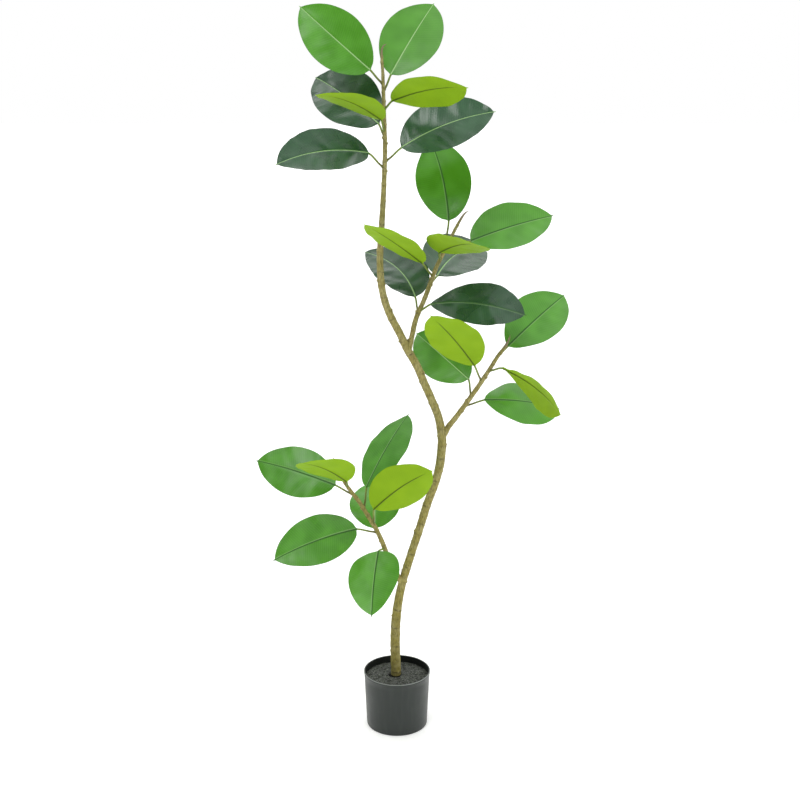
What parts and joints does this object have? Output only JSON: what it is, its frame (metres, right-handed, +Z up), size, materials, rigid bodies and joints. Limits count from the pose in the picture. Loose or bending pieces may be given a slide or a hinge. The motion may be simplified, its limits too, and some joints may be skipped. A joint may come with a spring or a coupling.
{
  "type": "potted rubber plant",
  "caption": "Tall slender rubber plant with large glossy oval leaves on a curving branched stem, standing in a small plain round nursery pot of soil.",
  "frame": {"origin": "centre of the underside of the pot, on the surface it stands on", "axes": "+Z up; +X to the right and -Y towards the viewer in the front view; the branch with the highest foot and the one beside it lean to +X, the lowest one leans to -X"},
  "size_m": [0.6957, 0.3902, 1.6064],
  "materials": {
    "pot_plastic": "satin dark grey moulded plastic",
    "potting_soil": "dull, fine grained, dark grey brown",
    "bark": "dull olive brown bark with small nubs",
    "leaf_green": "smooth waxy mid green above, matt yellow green beneath",
    "leaf_dark": "smooth waxy dark green with a soft sheen"
  },
  "bodies": {
    "root": {"pot": "pot_plastic", "soil": "potting_soil", "trunk": "bark", "branch_upper": "bark", "branch_right": "bark", "branch_lower": "bark", "leaf_01": "leaf_green", "leaf_02": "leaf_green", "leaf_03": "leaf_dark", "leaf_04": "leaf_green", "leaf_05": "leaf_green", "leaf_06": "leaf_dark", "leaf_07": "leaf_dark", "leaf_08": "leaf_green", "leaf_09": "leaf_green", "leaf_10": "leaf_green", "leaf_11": "leaf_green", "leaf_12": "leaf_dark", "leaf_13": "leaf_dark", "leaf_14": "leaf_dark", "leaf_15": "leaf_green", "leaf_16": "leaf_green", "leaf_17": "leaf_green", "leaf_18": "leaf_green", "leaf_19": "leaf_green", "leaf_20": "leaf_green", "leaf_21": "leaf_green", "leaf_22": "leaf_green", "leaf_23": "leaf_green", "leaf_24": "leaf_green", "leaf_25": "leaf_green", "leaf_26": "leaf_green"}
  },
  "joints": []
}
